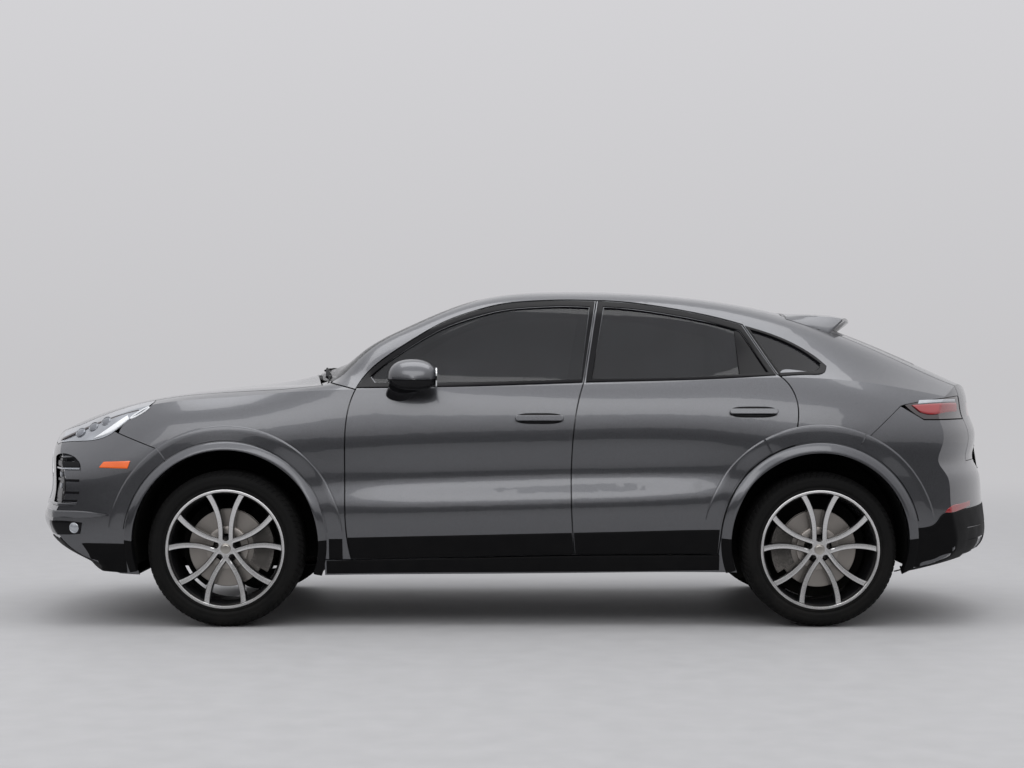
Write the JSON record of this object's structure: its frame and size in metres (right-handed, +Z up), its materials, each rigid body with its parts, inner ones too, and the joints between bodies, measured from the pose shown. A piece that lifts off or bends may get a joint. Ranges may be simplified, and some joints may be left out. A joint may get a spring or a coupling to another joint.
{
  "type": "coupe sport utility vehicle",
  "caption": "Coupe sport utility vehicle with opening doors, hood and tailgate, steered front wheels and a hollow cabin.",
  "frame": {"origin": "on the ground at the middle of the overall length, on the centreline", "axes": "nose to -X, the car's left side to -Y, +Z up"},
  "size_m": [4.9309, 2.18, 1.6745],
  "materials": {
    "body_paint": "gloss metallic grey",
    "tinted_glass": "tinted",
    "lamp_lens": "clear",
    "red_lens": "gloss",
    "black_trim": "fine grain",
    "wheel_metal": "machined face, dark pockets",
    "tyre_rubber": "matt",
    "dark_metal": "rough",
    "cast_metal": "cast",
    "bright_steel": "polished",
    "seat_leather": "grained",
    "rim_leather": "smooth",
    "cabin_plastic": "soft grain",
    "cabin_carpet": "carpet"
  },
  "bodies": {
    "body": {"body_side_left": "body_paint", "body_side_right": "body_paint", "cowl_panel": "black_trim", "dashboard": "cabin_plastic", "engine_block": "cast_metal", "exhaust_system": "bright_steel", "floor_pan": "cabin_carpet", "front_axle": "dark_metal", "front_bumper": "body_paint", "front_end_carrier": "black_trim", "front_grille": "black_trim", "front_seats": "seat_leather", "front_wings": "body_paint", "headlamps": "lamp_lens", "quarter_glass": "tinted_glass", "rear_axle": "dark_metal", "rear_bench": "seat_leather", "rear_bumper": "body_paint", "rear_diffuser": "black_trim", "roof_glass": "tinted_glass", "roof_panel": "body_paint", "tail_lamps": "red_lens", "undertray": "black_trim", "wheel_liners": "black_trim", "windshield": "tinted_glass"},
    "hood": {"hood": "body_paint"},
    "tailgate": {"tailgate": "body_paint", "rear_glass": "tinted_glass", "roof_spoiler": "body_paint", "tail_light_strip": "red_lens"},
    "steering_wheel": {"steering_wheel": "rim_leather"},
    "front_door_left": {"front_door_left": "body_paint", "front_door_glass_left": "tinted_glass", "mirror_left": "body_paint"},
    "rear_door_left": {"rear_door_left": "body_paint", "rear_door_glass_left": "tinted_glass"},
    "knuckle_left": {"front_knuckle_left": "dark_metal"},
    "front_wheel_left": {"front_wheel_left": "wheel_metal", "front_tyre_left": "tyre_rubber"},
    "rear_wheel_left": {"rear_wheel_left": "wheel_metal", "rear_tyre_left": "tyre_rubber"},
    "front_door_right": {"front_door_right": "body_paint", "front_door_glass_right": "tinted_glass", "mirror_right": "body_paint"},
    "rear_door_right": {"rear_door_right": "body_paint", "rear_door_glass_right": "tinted_glass"},
    "knuckle_right": {"front_knuckle_right": "dark_metal"},
    "front_wheel_right": {"front_wheel_right": "wheel_metal", "front_tyre_right": "tyre_rubber"},
    "rear_wheel_right": {"rear_wheel_right": "wheel_metal", "rear_tyre_right": "tyre_rubber"}
  },
  "joints": [
    {"name": "hood_hinge", "type": "hinge", "parent": "body", "child": "hood", "pos_m": [-0.945, 0, 1.226], "axis": [0, 1, 0], "range_deg": [0, 50]},
    {"name": "tailgate_hinge", "type": "hinge", "parent": "body", "child": "tailgate", "pos_m": [1.345, 0, 1.572], "axis": [0, -1, 0], "range_deg": [0, 75]},
    {"name": "front_door_hinge_left", "type": "hinge", "parent": "body", "child": "front_door_left", "pos_m": [-0.836, -0.962, 0.7], "axis": [0, 0, -1], "range_deg": [0, 68]},
    {"name": "rear_door_hinge_left", "type": "hinge", "parent": "body", "child": "rear_door_left", "pos_m": [0.276, -0.97, 0.7], "axis": [0, 0, -1], "range_deg": [0, 68]},
    {"name": "steer_left", "type": "hinge", "parent": "body", "child": "knuckle_left", "pos_m": [-1.4165, -0.77, 0.381], "axis": [0, 0, 1], "range_deg": [-34, 34]},
    {"name": "front_wheel_spin_left", "type": "hinge", "parent": "knuckle_left", "child": "front_wheel_left", "pos_m": [-1.4165, -0.9, 0.381], "axis": [0, 1, 0], "continuous": true},
    {"name": "rear_wheel_spin_left", "type": "hinge", "parent": "body", "child": "rear_wheel_left", "pos_m": [1.4785, -0.9, 0.377], "axis": [0, 1, 0], "continuous": true},
    {"name": "front_door_hinge_right", "type": "hinge", "parent": "body", "child": "front_door_right", "pos_m": [-0.836, 0.962, 0.7], "axis": [0, 0, 1], "range_deg": [0, 68]},
    {"name": "rear_door_hinge_right", "type": "hinge", "parent": "body", "child": "rear_door_right", "pos_m": [0.276, 0.97, 0.7], "axis": [0, 0, 1], "range_deg": [0, 68]},
    {"name": "steer_right", "type": "hinge", "parent": "body", "child": "knuckle_right", "pos_m": [-1.4165, 0.77, 0.381], "axis": [0, 0, 1], "range_deg": [-34, 34]},
    {"name": "front_wheel_spin_right", "type": "hinge", "parent": "knuckle_right", "child": "front_wheel_right", "pos_m": [-1.4165, 0.9, 0.381], "axis": [0, 1, 0], "continuous": true},
    {"name": "rear_wheel_spin_right", "type": "hinge", "parent": "body", "child": "rear_wheel_right", "pos_m": [1.4785, 0.9, 0.377], "axis": [0, 1, 0], "continuous": true},
    {"name": "steering_wheel_turn", "type": "hinge", "parent": "body", "child": "steering_wheel", "pos_m": [-0.53, -0.38, 0.96], "axis": [0.9135, 0, 0.4067], "range_deg": [-500, 500]}
  ],
  "couplings": [
    {"joint": "steer_right", "follows": "steer_left", "ratio": 1},
    {"joint": "steering_wheel_turn", "follows": "steer_left", "ratio": 14.5}
  ]
}
